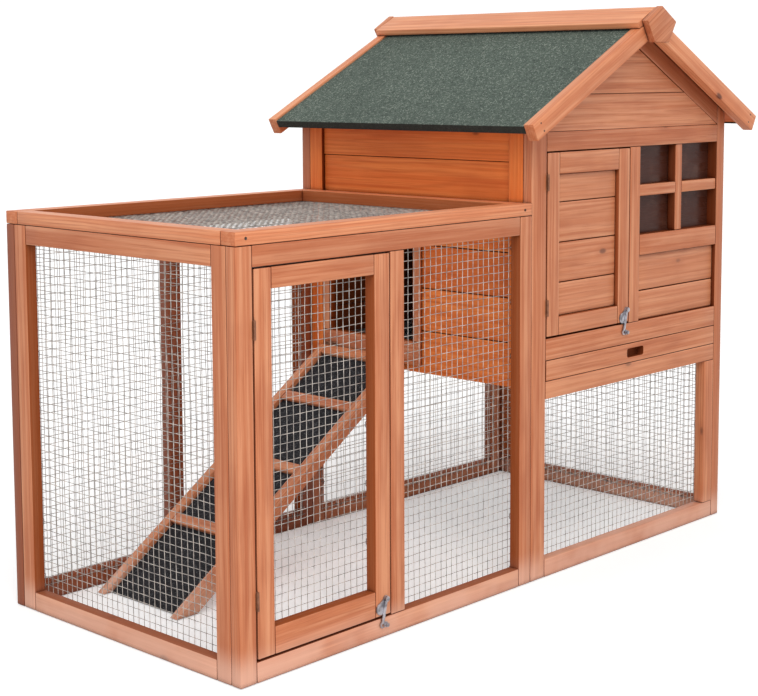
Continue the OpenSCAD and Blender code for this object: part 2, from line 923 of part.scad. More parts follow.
// Timber front with a routed finger pull
module tray_front() {
    pull_w = 50;
    pull_h = 16;
    pull_deep = 14;
    mid = (post_x1 + infill_x1) / 2;
    mid_z = floor_height + tray_h / 2;
    color(front_wood)
        difference() {
            box([post_x1 + tray_side_gap, 0, floor_height],
                [infill_x1 - tray_side_gap, stock_t, tray_z1]);
            translate([mid, pull_deep, mid_z])
                rotate([90, 0, 0])
                    linear_extrude(pull_deep + 1)
                        union() {
                            square([pull_w - pull_h / 2, pull_h], center = true);
                            square([pull_w, pull_h / 2], center = true);
                            for (x = [-1, 1], z = [-1, 1])
                                translate([x * (pull_w / 2 - pull_h / 4), z * pull_h / 4])
                                    circle(pull_h / 4);
                        }
        }
}

// Folded sheet pan behind the front
module tray_pan() {
    sheet = 1;
    lip = 24;
    lo = [post_x1 + tray_side_gap + 2, stock_t + 0.2, floor_height];
    hi = [infill_x1 - tray_side_gap - 2, back_y - stock_t - 6, floor_height + lip];
    color(galvanised)
        difference() {
            box(lo, hi);
            box(lo + [sheet, sheet, sheet], hi + [-sheet, -sheet, 1]);
        }
}

// ---------------------------------------------------------------- ramp

// Ramp frame: X runs back up the slope to the pivot, so the ramp lies at negative X
module on_ramp() {
    translate([ramp_pivot[0], ramp_y0, ramp_pivot[2]])
        rotate([0, -ramp_slope, 0])
            translate([0, 0, -ramp_drop]) children();
}

// Space between the ground and the wall, used to cut the ramp's foot level and its head upright
module ramp_room() {
    box([0, 0, ramp_clear], [ramp_head_x, coop_depth, run_height]);
}

module ramp_rails() {
    color(front_wood)
        intersection() {
            on_ramp()
                for (y = [0, ramp_w - ramp_rail_w])
                    box([-ramp_reach, y, -ramp_rail_h], [-ramp_start, y + ramp_rail_w, 0]);
            ramp_room();
        }
}

// Level piece between the rails, from z0 to z1 in the ramp's own frame
module ramp_infill(x0, x1, z0, z1) {
    inner = ramp_rail_w + joint_gap;
    intersection() {
        on_ramp()
            box([x0, inner, z0], [x1, ramp_w - inner, z1]);
        ramp_room();
    }
}

felt_z1 = -ramp_batten_h - felt_gap;
felt_z0 = felt_z1 - ramp_felt_t;

module ramp_felt() {
    color(felt_black)
        ramp_infill(-ramp_reach, -ramp_start, felt_z0, felt_z1);
}

module ramp_board() {
    color(warm_wood)
        ramp_infill(-ramp_reach, -ramp_start, felt_z0 - felt_gap - ramp_board_t, felt_z0 - felt_gap);
}

// Cross battens: one at the ramp's head and the rest evenly down the slope
module ramp_battens() {
    last = floor((ramp_reach - ramp_batten_first - 3 * ramp_batten_w) / ramp_batten_pitch);
    heads = concat(ramp_start, [for (i = [0 : last]) ramp_batten_first + i * ramp_batten_pitch]);
    color(front_wood)
        for (head = heads)
            ramp_infill(-head - ramp_batten_w, -head, -ramp_batten_h, 0);
}

// Moving leaves, flat on the ramp's upright end
module ramp_hinge_leaves() {
    color(galvanised)
        ramp_hinges() hinge_leaf(middle_knuckle, -barrel_r);
}

// ---------------------------------------------------------------- nodes

place() run_end_frame();
place() run_end_mesh();
place() run_front_frame();
place() run_front_mesh();
place() run_back_frame();
place() run_back_mesh();
place() run_roof_frame();
place() run_roof_mesh();
place() run_roof_nails();
place() front_left_post();
place() front_base_rail();
place() front_lower_stile();
place() tray_support_rail();
place() door_sill_rail();
place() front_mullion();
place() window_sill_rail();
place() window_muntins();
place() window_pane();
place() front_wall_boards();
place() front_top_rail();
place() front_gable_boards();
place() left_wall_stiles();
place() left_wall_boards();
place() doorway_trim();
place() right_wall_frame();
place() right_wall_boards();
place() back_wall_frame();
place() back_wall_boards();
place() back_gable_boards();
place() under_house_front_mesh();
place() under_house_right_mesh();
place() under_house_back_mesh();
place() tray_runners();
place() gable_rafters();
place() roof_boards();
place() roof_felt();
place() front_bargeboards();
place() back_bargeboards();
place() ridge_cap_boards();
place() ridge_end_plates();
place() hinge_fixed_leaves();
place() hinge_pins();
place() latch_keepers();
place() run_door_frame();
place() run_door_mesh();
place() run_door_hinge_leaves();
place() run_latch_plate();
place() run_latch_hook();
place() house_door_frame();
place() house_door_boards();
place() house_door_hinge_leaves();
place() house_latch_plate();
place() house_latch_hook();
place() tray_front();
place() tray_pan();
place() ramp_rails();
place() ramp_board();
place() ramp_felt();
place() ramp_battens();
place() ramp_hinge_leaves();
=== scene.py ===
import json
import math
import random

import bmesh
import bpy
import numpy as np
from mathutils import Matrix, Vector, noise


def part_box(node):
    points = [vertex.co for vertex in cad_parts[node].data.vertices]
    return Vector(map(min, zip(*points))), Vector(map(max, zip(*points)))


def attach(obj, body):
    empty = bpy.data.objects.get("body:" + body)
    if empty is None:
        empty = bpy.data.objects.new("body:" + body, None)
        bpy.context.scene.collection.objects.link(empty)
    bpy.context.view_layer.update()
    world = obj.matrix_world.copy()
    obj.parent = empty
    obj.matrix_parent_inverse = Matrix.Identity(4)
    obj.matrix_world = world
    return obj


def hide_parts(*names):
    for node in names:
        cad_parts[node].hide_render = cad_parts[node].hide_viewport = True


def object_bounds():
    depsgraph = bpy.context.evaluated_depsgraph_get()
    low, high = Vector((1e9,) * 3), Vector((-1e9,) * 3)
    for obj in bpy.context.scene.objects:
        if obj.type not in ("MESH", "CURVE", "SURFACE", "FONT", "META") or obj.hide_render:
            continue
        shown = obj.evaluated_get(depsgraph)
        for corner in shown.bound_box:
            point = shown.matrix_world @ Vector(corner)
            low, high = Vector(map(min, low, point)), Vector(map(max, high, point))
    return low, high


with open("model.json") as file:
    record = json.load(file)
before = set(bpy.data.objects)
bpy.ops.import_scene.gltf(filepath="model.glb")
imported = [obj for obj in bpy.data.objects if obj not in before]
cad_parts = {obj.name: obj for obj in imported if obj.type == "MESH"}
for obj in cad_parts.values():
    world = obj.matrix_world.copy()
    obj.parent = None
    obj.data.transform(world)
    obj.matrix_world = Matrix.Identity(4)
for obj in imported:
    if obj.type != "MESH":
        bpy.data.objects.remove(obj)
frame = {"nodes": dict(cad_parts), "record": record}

# noise_vector takes its offsets from the clock unless a seed is set
noise.seed_set(1)

cad_lo, cad_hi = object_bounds()
NODES = frame["nodes"]
RECORD = frame["record"]
BODIES = RECORD["behaviour"]["bodies"]
BODY_OF = {node: body for body, nodes in BODIES.items() for node in nodes}
SLOT_OF = {part["node"]: part["material_slot"] for part in RECORD["subparts"]}

FRONT_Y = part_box("run_front_frame")[0].y
BACK_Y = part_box("run_back_frame")[1].y
RUN_X0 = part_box("run_end_frame")[0].x
HOUSE_X0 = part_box("back_wall_frame")[0].x
HOUSE_X1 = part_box("right_wall_frame")[1].x
STOCK_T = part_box("front_base_rail")[1].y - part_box("front_base_rail")[0].y


# ---------------------------------------------------------------- material helpers

class Nodes:
    """Short names for the node types that the materials below are made of."""

    def __init__(self, name):
        self.material = bpy.data.materials.new(name)
        self.material.use_nodes = True
        self.tree = self.material.node_tree
        self.shader = self.tree.nodes["Principled BSDF"]

    def link(self, source, target):
        self.tree.links.new(source, target)

    def new(self, kind, **values):
        node = self.tree.nodes.new(kind)
        for key, value in values.items():
            setattr(node, key, value)
        return node

    def fill(self, socket, value):
        if isinstance(value, bpy.types.NodeSocket):
            self.link(value, socket)
        elif isinstance(value, tuple) and len(value) == 3 and len(socket.default_value) == 4:
            socket.default_value = (*value, 1)
        else:
            socket.default_value = value

    def math(self, operation, a, b=0.0):
        node = self.new("ShaderNodeMath", operation=operation)
        self.fill(node.inputs[0], a)
        self.fill(node.inputs[1], b)
        return node.outputs[0]

    def vector(self, operation, a, b):
        node = self.new("ShaderNodeVectorMath", operation=operation)
        self.fill(node.inputs[0], a)
        self.fill(node.inputs[1], b)
        return node.outputs[0]

    def attribute(self, name, output):
        node = self.new("ShaderNodeAttribute", attribute_name=name)
        return node.outputs[output]

    def noise(self, vector, scale, detail=3.0, rough=0.55):
        node = self.new("ShaderNodeTexNoise")
        self.fill(node.inputs["Vector"], vector)
        node.inputs["Scale"].default_value = scale
        node.inputs["Detail"].default_value = detail
        node.inputs["Roughness"].default_value = rough
        return node.outputs["Fac"]

    def cells(self, vector, scale, output="Distance"):
        node = self.new("ShaderNodeTexVoronoi")
        self.fill(node.inputs["Vector"], vector)
        node.inputs["Scale"].default_value = scale
        return node.outputs[output]

    def remap(self, value, low, high, out_low=0.0, out_high=1.0):
        node = self.new("ShaderNodeMapRange", interpolation_type="SMOOTHSTEP")
        self.fill(node.inputs["Value"], value)
        node.inputs["From Min"].default_value = low
        node.inputs["From Max"].default_value = high
        node.inputs["To Min"].default_value = out_low
        node.inputs["To Max"].default_value = out_high
        return node.outputs[0]

    def mix(self, share, a, b):
        node = self.new("ShaderNodeMix", data_type="RGBA")
        self.fill(node.inputs["Factor"], share)
        self.fill(node.inputs["A"], a)
        self.fill(node.inputs["B"], b)
        return node.outputs["Result"]

    def bump(self, height, distance, strength=1.0):
        node = self.new("ShaderNodeBump")
        self.fill(node.inputs["Height"], height)
        node.inputs["Distance"].default_value = distance
        node.inputs["Strength"].default_value = strength
        self.link(node.outputs["Normal"], self.shader.inputs["Normal"])

    def position(self):
        return self.new("ShaderNodeTexCoord").outputs["Object"]

    def openness(self, reach, low, high):
        """0 deep in a crevice, 1 on an open face, looking as far as reach."""
        node = self.new("ShaderNodeAmbientOcclusion", samples=6)
        node.inputs["Distance"].default_value = reach
        return self.remap(node.outputs["AO"], low, high)

    def facing_up(self):
        """Z of the surface's direction."""
        split = self.new("ShaderNodeSeparateXYZ")
        self.link(self.new("ShaderNodeNewGeometry").outputs["Normal"], split.inputs[0])
        return split.outputs["Z"]


def srgb(r, g, b):
    """Linear colour from 0 to 255 screen values."""
    return tuple(((c / 255 + 0.055) / 1.055) ** 2.4 if c > 10 else c / 255 / 12.92 for c in (r, g, b))


# ---------------------------------------------------------------- materials

# Sizes of the wood's features, in waves per metre along, across and through a board
WAVER = (3.0, 14.0, 14.0)
STREAKS = (7.0, 300.0, 300.0)
BANDS = (1.8, 110.0, 110.0)
KNOTS = (6.5, 14.0, 14.0)
PORES = (14.0, 520.0, 520.0)
APART = (37.0, 11.0, 23.0)   # moves each board to its own place in the noise
RING_TURN = 1300.0           # radians of growth ring per metre from the heart
RING_WAVER = 17.0            # radians that the waver adds
SPLASH_TOP = 0.058           # height that splashed rain reaches
SPLASH_FULL = 0.012          # height below which it bleaches most
CREVICE_SHADE_REACH = 0.014          # how far from a joint or crevice the painted shade reaches


def wood_material(name, pale, body, deep, dark, bleached, gloss):
    """Stained softwood. Grain runs along the x of each board's own "grain" coordinates."""
    n = Nodes(name)
    grain = n.attribute("grain", "Vector")
    tone = n.attribute("tone", "Fac")
    edge = n.attribute("edge", "Fac")
    end = n.attribute("end_grain", "Fac")
    inward_shade = n.attribute("inward_shade", "Fac")
    shift = n.vector("MULTIPLY", n.attribute("tone", "Vector"), APART)
    own = n.vector("ADD", grain, shift)

    # growth rings: nested cones cut by the board's faces, wavering along its length
    waver = n.noise(n.vector("MULTIPLY", own, WAVER), 1.0, 2.0)
    across = n.new("ShaderNodeSeparateXYZ")
    n.link(grain, across.inputs[0])
    heart = n.math("ADD", n.math("MULTIPLY", tone, 0.09), 0.012)
    from_heart = n.math("ADD", across.outputs["Z"], heart)
    radius = n.math("SQRT", n.math("ADD", n.math("POWER", across.outputs["Y"], 2.0),
                                   n.math("POWER", from_heart, 2.0)))
    ring_phase = n.math("ADD", n.math("MULTIPLY", radius, RING_TURN),
                        n.math("MULTIPLY", waver, RING_WAVER))
    ring = n.math("MULTIPLY", n.math("ADD", n.math("SINE", ring_phase), 1.0), 0.5)
    late_wood = n.math("POWER", ring, 3.0)

    streak = n.noise(n.vector("MULTIPLY", own, STREAKS), 1.0, 4.0, 0.65)
    band = n.noise(n.vector("MULTIPLY", own, BANDS), 1.0, 3.0, 0.55)
    cloud = n.noise(own, 7.0, 3.0, 0.6)

    # knots: scarce dark ovals with a halo of deeper stain
    knot_far = n.cells(n.vector("MULTIPLY", own, KNOTS), 1.0)
    knot = n.remap(knot_far, 0.085, 0.035)
    halo = n.remap(knot_far, 0.20, 0.06)

    colour = n.mix(n.remap(band, 0.40, 0.66), body, pale)
    colour = n.mix(n.remap(cloud, 0.42, 0.72, 0.0, 0.30), colour, deep)
    colour = n.mix(n.math("MULTIPLY", late_wood, 0.38), colour, deep)
    colour = n.mix(n.remap(streak, 0.50, 0.70, 0.0, 0.52), colour, deep)
    colour = n.mix(n.remap(streak, 0.47, 0.28, 0.0, 0.55), colour, pale)
    colour = n.mix(n.math("MULTIPLY", halo, 0.35), colour, deep)
    colour = n.mix(n.math("MULTIPLY", knot, 0.85), colour, dark)
    # each board took the stain a little differently
    colour = n.mix(n.remap(tone, 0.55, 1.0, 0.0, 0.35), colour, deep)
    colour = n.mix(n.remap(tone, 0.45, 0.0, 0.0, 0.30), colour, pale)
    # tones above 1 are painted shade on pieces that lie in shade
    colour = n.mix(n.remap(tone, 1.0, 2.0, 0.0, 0.90), colour, n.mix(0.55, deep, dark))
    # splashed rain bleaches the lowest rails
    height = n.new("ShaderNodeSeparateXYZ")
    n.link(n.position(), height.inputs[0])
    splash = n.math("MULTIPLY", n.remap(height.outputs["Z"], SPLASH_TOP, SPLASH_FULL),
                    n.remap(cloud, 0.25, 0.6, 0.25, 0.65))
    colour = n.mix(n.math("MULTIPLY", splash, n.remap(tone, 1.0, 1.3, 1.0, 0.0)), colour, bleached)
    # painted highlight on the eased edges, made patchy by noise, and end grain that soaks up more stain
    edge_highlight = n.remap(n.noise(own, 60.0, 3.0), 0.30, 0.62, 0.20, 0.85)
    colour = n.mix(n.math("MULTIPLY", edge, edge_highlight), colour, pale)
    colour = n.mix(n.math("MULTIPLY", end, 0.45), colour, deep)
    # painted shade on faces that look into openings, recesses and the cabin
    colour = n.mix(n.remap(inward_shade, 0.0, 1.0, 0.0, 0.78), colour, n.mix(0.45, deep, dark))
    colour = n.mix(n.remap(inward_shade, 1.0, 2.0, 0.0, 0.65), colour, dark)
    # painted shade in joints and crevices, from ambient occlusion
    crevice_shade = n.math("SUBTRACT", 1.0, n.openness(CREVICE_SHADE_REACH, 0.28, 0.72))
    colour = n.mix(n.math("MULTIPLY", crevice_shade, 0.92), colour, dark)
    n.link(colour, n.shader.inputs["Base Color"])

    rough = n.remap(streak, 0.3, 0.7, 0.50, 0.66)
    n.link(n.math("ADD", rough, n.math("MULTIPLY", end, 0.15)), n.shader.inputs["Roughness"])
    # faces in painted shade also lose most of their gloss and coat
    n.link(n.remap(inward_shade, 0.0, 1.0, gloss, 0.1 * gloss), n.shader.inputs["Specular IOR Level"])
    n.link(n.remap(inward_shade, 0.0, 1.0, 0.5 * gloss, 0.0), n.shader.inputs["Coat Weight"])
    n.shader.inputs["Coat Roughness"].default_value = 0.42
    pores = n.noise(n.vector("MULTIPLY", own, PORES), 1.0, 3.0, 0.6)
    relief = n.math("ADD", n.math("MULTIPLY", pores, 0.6), n.math("MULTIPLY", late_wood, 0.35))
    relief = n.math("SUBTRACT", relief, n.math("MULTIPLY", knot, 0.8))
    n.bump(relief, 0.0006, 0.55)
    return n.material


def galvanised_material(name, bright, dull, rough, metallic=0.85):
    """Zinc: bright and dull patches, with a little white bloom."""
    n = Nodes(name)
    at = n.position()
    patch = n.noise(at, 90.0, 3.0)
    speck = n.noise(at, 900.0, 2.0)
    colour = n.mix(n.remap(patch, 0.35, 0.65), dull, bright)
    colour = n.mix(n.remap(speck, 0.55, 0.75, 0.0, 0.35), colour, dull)
    n.link(colour, n.shader.inputs["Base Color"])
    n.shader.inputs["Metallic"].default_value = metallic
    n.link(n.remap(patch, 0.3, 0.7, rough, rough + 0.16), n.shader.inputs["Roughness"])
    n.bump(speck, 0.0001, 0.35)
    return n.material


def sheet_material():
    """Galvanised sheet with its spangle of zinc crystals."""
    n = Nodes("galvanised_sheet")
    at = n.position()
    crystal = n.cells(at, 130.0, output="Color")
    tone = n.new("ShaderNodeSeparateColor")
    n.link(crystal, tone.inputs[0])
    colour = n.mix(n.remap(tone.outputs[0], 0.0, 1.0, 0.2, 0.8), srgb(150, 153, 156), srgb(205, 208, 210))
    smear = n.noise(n.vector("MULTIPLY", at, (4.0, 22.0, 9.0)), 1.0, 4.0)
    n.link(n.mix(n.remap(smear, 0.5, 0.75, 0.0, 0.4), colour, srgb(120, 122, 122)),
           n.shader.inputs["Base Color"])
    n.shader.inputs["Metallic"].default_value = 0.8
    n.link(n.remap(tone.outputs[1], 0.0, 1.0, 0.32, 0.52), n.shader.inputs["Roughness"])
    n.bump(smear, 0.0004, 0.3)
    return n.material


def felt_material(name, base, dark, light, bitumen_and_shade, grit, light_share):
    """Mineral felt: crushed stone pressed into bitumen, with bare and crowded places."""
    n = Nodes(name)
    at = n.position()
    stone = n.cells(at, grit, output="Color")
    shade = n.new("ShaderNodeSeparateColor")
    n.link(stone, shade.inputs[0])
    stone_far = n.cells(at, grit)
    clump = n.noise(at, grit * 0.28, 3.0, 0.65)
    drift = n.noise(at, 5.0, 4.0, 0.6)
    colour = n.mix(n.remap(shade.outputs[0], 0.45, 1.0, 0.0, 0.75), base, dark)
    colour = n.mix(n.remap(shade.outputs[1], 1.0 - light_share, 1.0, 0.0, 0.9), colour, light)
    colour = n.mix(n.remap(clump, 0.54, 0.70, 0.0, 0.55), colour, dark)
    colour = n.mix(n.remap(clump, 0.46, 0.30, 0.0, 0.45), colour, light)
    colour = n.mix(n.remap(drift, 0.40, 0.70, 0.0, 0.30), colour, dark)
    # faces that turn sideways or down take the dark bitumen colour: bitumen shows on the turned-down lips
    # and cut edges, and the colour there is also painted shade
    colour = n.mix(n.remap(n.facing_up(), 0.55, 0.15, 0.0, 0.9), colour, bitumen_and_shade)
    n.link(colour, n.shader.inputs["Base Color"])
    n.link(n.remap(shade.outputs[2], 0.0, 1.0, 0.78, 0.96), n.shader.inputs["Roughness"])
    n.shader.inputs["Specular IOR Level"].default_value = 0.25
    height = n.math("SUBTRACT", n.math("MULTIPLY", clump, 0.8), stone_far)
    n.bump(height, 0.0012, 0.7)
    return n.material


def pane_material():
    """Smoked sheet with patches of dust."""
    n = Nodes("smoked_pane")
    at = n.position()
    dust = n.noise(at, 26.0, 5.0, 0.65)
    wipe = n.noise(n.vector("MULTIPLY", at, (12.0, 1.0, 130.0)), 1.0, 2.0)
    colour = n.mix(n.remap(dust, 0.45, 0.75, 0.0, 0.5), srgb(70, 36, 26), srgb(104, 68, 54))
    n.link(colour, n.shader.inputs["Base Color"])
    n.link(n.remap(wipe, 0.35, 0.70, 0.18, 0.42), n.shader.inputs["Roughness"])
    n.shader.inputs["Specular IOR Level"].default_value = 0.22
    n.bump(dust, 0.0002, 0.2)
    return n.material


def steel_material():
    """Dull steel of nail heads, browned here and there."""
    n = Nodes("nail_steel")
    rust = n.noise(n.position(), 400.0, 3.0)
    n.link(n.mix(n.remap(rust, 0.45, 0.62), srgb(86, 80, 76), srgb(92, 52, 34)),
           n.shader.inputs["Base Color"])
    n.shader.inputs["Metallic"].default_value = 0.6
    n.link(n.remap(rust, 0.4, 0.6, 0.4, 0.75), n.shader.inputs["Roughness"])
    n.bump(rust, 0.0001, 0.4)
    return n.material


BLEACHED = srgb(238, 188, 164)
MATERIAL = {
    "timber": wood_material("stained_timber", srgb(218, 146, 104), srgb(198, 116, 72), srgb(164, 80, 38),
                            srgb(84, 30, 10), BLEACHED, 0.5),
    # a paler copy of the stain for pieces whose tops face the light: painted light
    "light_timber": wood_material("light_timber", srgb(238, 164, 118), srgb(220, 132, 84),
                                  srgb(184, 98, 56), srgb(84, 30, 10), BLEACHED, 0.5),
    # a more saturated, less glossy copy of the stain for the wall that lies in shade: painted shade
    "inner_timber": wood_material("inner_timber", srgb(240, 136, 66), srgb(226, 114, 48),
                                  srgb(190, 84, 32), srgb(72, 24, 8), BLEACHED, 0.22),
    "wire_mesh": galvanised_material("galvanised_wire", srgb(212, 204, 196), srgb(156, 150, 145), 0.36,
                                     0.6),
    "fittings": galvanised_material("zinc_fittings", srgb(206, 204, 210), srgb(140, 138, 144), 0.30),
    "hinges": galvanised_material("browned_hinges", srgb(150, 104, 78), srgb(112, 70, 48), 0.48, 0.35),
    "nails": steel_material(),
    "pane": pane_material(),
    "roof_felt": felt_material("roof_felt", srgb(90, 102, 93), srgb(46, 56, 50), srgb(156, 164, 152),
                               srgb(40, 36, 32), 620.0, 0.16),
    "ramp_felt": felt_material("ramp_felt", srgb(40, 40, 44), srgb(18, 18, 20), srgb(96, 96, 100),
                               srgb(16, 15, 15), 620.0, 0.10),
    "tray_pan": sheet_material(),
}


# ---------------------------------------------------------------- mesh helpers

def solids_of(node):
    """The node's separate solids, each as a bmesh of flat faces without the triangles' diagonals."""
    whole = bmesh.new()
    whole.from_mesh(NODES[node].data)
    bmesh.ops.remove_doubles(whole, verts=whole.verts, dist=2e-6)
    whole.verts.ensure_lookup_table()
    seen = set()
    solids = []
    for start in whole.verts:
        if start.index in seen:
            continue
        seen.add(start.index)
        group = [start]
        for vert in group:
            for edge in vert.link_edges:
                other = edge.other_vert(vert)
                if other.index not in seen:
                    seen.add(other.index)
                    group.append(other)
        solids.append(solid_from(group))
    whole.free()
    return solids


def solid_from(group):
    """A new bmesh holding the faces between the given vertices, always in the same order."""
    solid = bmesh.new()
    copy = {vert: solid.verts.new(vert.co) for vert in group}
    for face in dict.fromkeys(face for vert in group for face in vert.link_faces):
        solid.faces.new([copy[vert] for vert in face.verts])
    bmesh.ops.recalc_face_normals(solid, faces=solid.faces)
    bmesh.ops.dissolve_limit(solid, angle_limit=math.radians(0.5), verts=solid.verts, edges=solid.edges)
    return solid


def corners_of(solid):
    """The lowest and the highest corner of a solid's box."""
    low = Vector(min(vert.co[k] for vert in solid.verts) for k in range(3))
    high = Vector(max(vert.co[k] for vert in solid.verts) for k in range(3))
    return low, high


def middle_of(solid):
    """The mean place of a solid's corners."""
    return sum((vert.co for vert in solid.verts), Vector()) / len(solid.verts)


def mesh_object(name, vertices, faces):
    mesh = bpy.data.meshes.new(name)
    mesh.from_pydata([tuple(v) for v in vertices], [], [tuple(f) for f in faces])
    mesh.validate()
    obj = bpy.data.objects.new(name, mesh)
    bpy.context.scene.collection.objects.link(obj)
    return obj


def shade_smooth(obj, angle=40):
    obj.data.shade_smooth()
    obj.data.set_sharp_from_angle(angle=math.radians(angle))


def stand_for(obj, node):
    """Puts the piece in the place of a CAD node: same body, same slot, same finish."""
    obj.data.materials.append(MATERIAL[SLOT_OF[node]])
    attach(obj, BODY_OF[node])
    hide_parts(node)
    return obj


def tube(points, radius, sides, phase=0.0):
    """Vertices and faces of a round wire along a line of points, closed at both ends."""
    points = np.asarray(points, float)
    along = np.gradient(points, axis=0)
    along /= np.linalg.norm(along, axis=1)[:, None]
    helper = np.eye(3)[np.argmin(np.abs(along).max(axis=0))]
    first = np.cross(along, helper)
    first /= np.linalg.norm(first, axis=1)[:, None]
    second = np.cross(along, first)
    turn = phase + np.arange(sides) * 2 * math.pi / sides
    ring = np.cos(turn)[None, :, None] * first[:, None] + np.sin(turn)[None, :, None] * second[:, None]
    vertices = (points[:, None] + radius * ring).reshape(-1, 3)
    faces = []
    for row in range(len(points) - 1):
        for side in range(sides):
            a = row * sides + side
            b = row * sides + (side + 1) % sides
            faces.append((a, a + sides, b + sides, b))
    last = (len(points) - 1) * sides
    faces.append(tuple(range(sides)))
    faces.append(tuple(last + side for side in reversed(range(sides))))
    return vertices, faces


def joined(parts):
    """One vertex list and one face list from several."""
    vertices = []
    faces = []
    count = 0
    for part_vertices, part_faces in parts:
        vertices.extend(part_vertices)
        faces.extend(tuple(count + i for i in face) for face in part_faces)
        count += len(part_vertices)
    return vertices, faces


# ---------------------------------------------------------------- timber

TIMBER_SLOTS = ("timber", "light_timber", "inner_timber")
EASED = 0.0017           # radius of an eased edge
BOARD_EASED = 0.0026     # and of the edges of thin wall boards
STATION = 0.045          # spacing of the cuts along a board
STRIP = 0.012            # and across it
DIP = 0.0004             # how far a planed face dips
DIP_WAVES = (9, 38, 38)  # waves per metre along, across and through a board
# Some nodes' boards took less or more stain than the rest (0 palest, 1 usual darkest); tones above 1, up
# to 2 nearly brown, are painted shade for pieces that lie in shade
TONE_AND_SHADE_RANGE = {"ridge_cap_boards": (0.1, 0.3), "front_bargeboards": (0.5, 0.8),
              "back_bargeboards": (0.5, 0.8), "run_roof_frame": (0.4, 0.9),
              "run_front_frame": (0.55, 1.0), "run_end_frame": (0.4, 0.8),
              "front_left_post": (0.7, 0.9), "right_wall_frame": (0.9, 1.1),
              "house_door_boards": (0.0, 0.3), "front_wall_boards": (0.0, 0.3),
              "house_door_frame": (0.0, 0.5), "run_door_frame": (0.2, 0.7),
              "run_back_frame": (1.6, 1.9), "back_wall_frame": (1.1, 1.3),
              "gable_rafters": (1.3, 1.5), "roof_boards": (1.1, 1.3)}
SHARP = math.radians(25)  # edges that turn more than this are eased
ENDWISE = 0.8            # faces that point more than this along a board show end grain
SKIN = 0.004             # points this near a wall's outer face are outside the cabin
ROOF_BOARD = 0.020       # height of a roof board at the ridge, under which the cabin lies
CABIN_LOW = Vector((HOUSE_X0 + SKIN, FRONT_Y + SKIN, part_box("tray_pan")[0].z))
CABIN_HIGH = Vector((HOUSE_X1 - SKIN, BACK_Y - SKIN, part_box("roof_boards")[1].z - ROOF_BOARD))
AHEAD = 0.006            # how far in front of a face the cabin is looked for
SIDEWAYS = 0.5           # faces that point less than this through a panel look along it
OFF_MIDDLE = 0.02        # and this far or more from its middle look into its opening
RECESS = 0.002           # faces this far inside a board's own box belong to a recess
ROOF_LOW, ROOF_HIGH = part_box("roof_boards")
ROOF_FALL = 2 * (ROOF_HIGH.z - ROOF_LOW.z) / (ROOF_HIGH.x - ROOF_LOW.x)


def board_axes(solid):
    """Directions along, across and through a board, from its longest edge and its largest face."""
    longest = max(solid.edges, key=lambda edge: edge.calc_length())
    along = (longest.verts[1].co - longest.verts[0].co).normalized()
    if max(along, key=abs) < 0:
        along = -along
    wide = max(solid.faces, key=lambda face: face.calc_area())
    through = (wide.normal - along * wide.normal.dot(along)).normalized()
    return along, through.cross(along), through


def cut_into_strips(solid, direction, spacing):
    """Cuts the faces of a solid square to a direction, so that they can bend along it."""
    reach = [vert.co.dot(direction) for vert in solid.verts]
    low, high = min(reach), max(reach)
    strips = max(1, round((high - low) / spacing))
    for i in range(1, strips):
        place = direction * (low + (high - low) * i / strips)
        everything = solid.verts[:] + solid.edges[:] + solid.faces[:]
        bmesh.ops.bisect_plane(solid, geom=everything, plane_co=place, plane_no=direction)


def let_dip(solid, axes, waves, depth, rng):
    """Moves the surface in by up to depth, in waves whose numbers per metre are given along each axis.
    Faces square to the second axis stay, so that boards laid edge to edge keep closed joints."""
    seed = Vector(rng.uniform(0, 50) for _ in range(3))
    solid.normal_update()
    dips = []
    for vert in solid.verts:
        place = Vector(vert.co.dot(axis) * wave for axis, wave in zip(axes, waves))
        dips.append(depth * (0.5 + 0.5 * noise.noise(place + seed)))
    for vert, dip in zip(solid.verts, dips):
        square = axes[1] * vert.normal.dot(axes[1])
        vert.co -= (vert.normal - square) * dip


def in_cabin(place):
    """Whether a point lies between the house's walls, above the tray and under the roof boards."""
    roof_z = CABIN_HIGH.z - ROOF_FALL * abs(place.x - (ROOF_LOW.x + ROOF_HIGH.x) / 2)
    return place.z < roof_z and all(CABIN_LOW[k] < place[k] < CABIN_HIGH[k] for k in range(3))


def mark_inward_shade(solid, axes, node):
    """Marks the faces that look into a panel's opening (1), into the cabin or into a recess (2), for
    painted shade.
    """
    low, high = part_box(node)
    has_opening = node.endswith("_frame") or node in ("window_muntins", "doorway_trim")
    thin = min(range(3), key=lambda k: high[k] - low[k])
    spans = [sorted(vert.co.dot(axis) for vert in solid.verts) for axis in axes]
    inward_shade = solid.faces.layers.float.new("inward_shade")
    for face in solid.faces:
        place = face.calc_center_median()
        ahead = place + face.normal * AHEAD
        to_middle = face.normal.dot((low + high) / 2 - place)
        along_panel = abs(face.normal[thin]) < SIDEWAYS
        into_opening = has_opening and along_panel and to_middle > OFF_MIDDLE
        in_recess = all(span[0] + RECESS < place.dot(axis) < span[-1] - RECESS
                        for axis, span in zip(axes, spans))
        if in_recess or (in_cabin(ahead) and BODY_OF[node] == "coop"):
            face[inward_shade] = 2.0
        elif into_opening or in_cabin(ahead):
            face[inward_shade] = 1.0
        else:
            face[inward_shade] = 0.0


